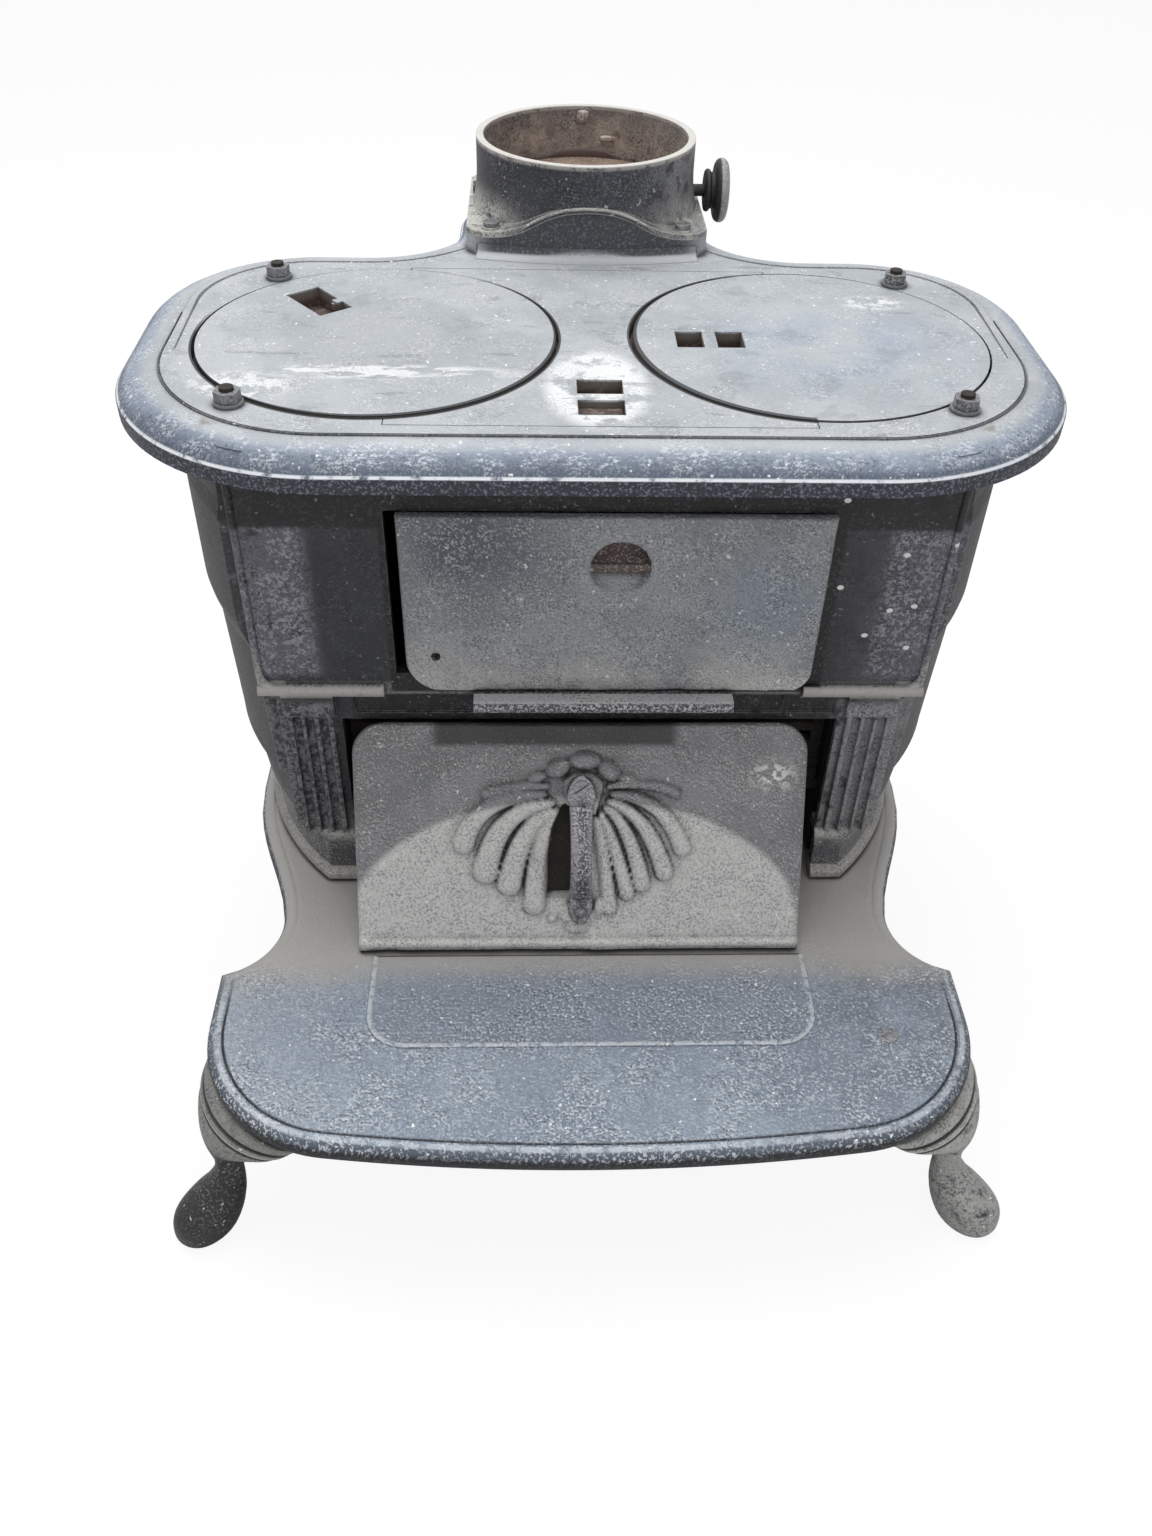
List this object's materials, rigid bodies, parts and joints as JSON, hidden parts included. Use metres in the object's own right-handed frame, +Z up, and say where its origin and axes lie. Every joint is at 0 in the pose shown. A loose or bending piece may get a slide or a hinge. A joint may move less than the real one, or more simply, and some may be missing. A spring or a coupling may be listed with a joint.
{
  "type": "franklin stove",
  "caption": "Cast iron franklin stove: two-lid top with rear flue collar, bowed sides, fluted front, lift-off plates, wide hearth on cabriole legs.",
  "frame": {"origin": "middle of the overall box, on the floor", "axes": "+Z up, -Y towards the front and its hearth, +X to the right seen from the front"},
  "size_m": [0.558, 0.64, 0.52],
  "materials": {
    "plate_top_iron": "weathered pale",
    "body_iron": "matt",
    "lift_off_iron": "rough",
    "dark_iron": "matt",
    "rusty_iron": "rusty"
  },
  "bodies": {
    "stove": {"top_plate": "plate_top_iron", "flue_collar": "dark_iron", "collar_bolts": "rusty_iron", "top_studs": "rusty_iron", "top_washers": "rusty_iron", "top_nuts": "dark_iron", "front_frame": "body_iron", "left_side": "body_iron", "right_side": "body_iron", "back_panel": "body_iron", "flue_box": "dark_iron", "flue_box_bolts": "rusty_iron", "side_foot_bolts": "rusty_iron", "feed_rail": "lift_off_iron", "feed_rail_screws": "rusty_iron", "hearth_base": "plate_top_iron", "side_linings": "rusty_iron", "fire_back": "rusty_iron", "bottom_grate": "dark_iron", "front_grate": "dark_iron", "front_left_leg": "dark_iron", "front_right_leg": "dark_iron", "back_left_leg": "dark_iron", "back_right_leg": "dark_iron", "leg_bolts": "rusty_iron"},
    "centre_plate": {"centre_plate": "plate_top_iron"},
    "left_lid": {"left_lid": "plate_top_iron"},
    "right_lid": {"right_lid": "plate_top_iron"},
    "damper": {"damper_plate": "rusty_iron", "damper_shaft": "rusty_iron", "damper_knob": "dark_iron"},
    "feed_plate": {"feed_plate": "lift_off_iron"},
    "lower_plate": {"lower_plate": "lift_off_iron", "strap_handle": "dark_iron", "handle_screw": "rusty_iron", "handle_rivet": "rusty_iron"}
  },
  "joints": [
    {"name": "centre_plate_lift", "type": "slide", "parent": "stove", "child": "centre_plate", "axis": [0, 0, 1], "range_m": [0, 0.15]},
    {"name": "left_lid_lift", "type": "slide", "parent": "centre_plate", "child": "left_lid", "axis": [0, 0, 1], "range_m": [0, 0.15]},
    {"name": "right_lid_lift", "type": "slide", "parent": "centre_plate", "child": "right_lid", "axis": [0, 0, 1], "range_m": [0, 0.15]},
    {"name": "damper_turn", "type": "hinge", "parent": "stove", "child": "damper", "pos_m": [0, 0.233, 0.484], "axis": [1, 0, 0], "range_deg": [0, 90]},
    {"name": "feed_plate_lift", "type": "slide", "parent": "stove", "child": "feed_plate", "axis": [0, -0.8944, 0.4472], "range_m": [0, 0.15]},
    {"name": "lower_plate_lift", "type": "slide", "parent": "stove", "child": "lower_plate", "axis": [0, -0.8951, 0.4458], "range_m": [0, 0.15]}
  ]
}
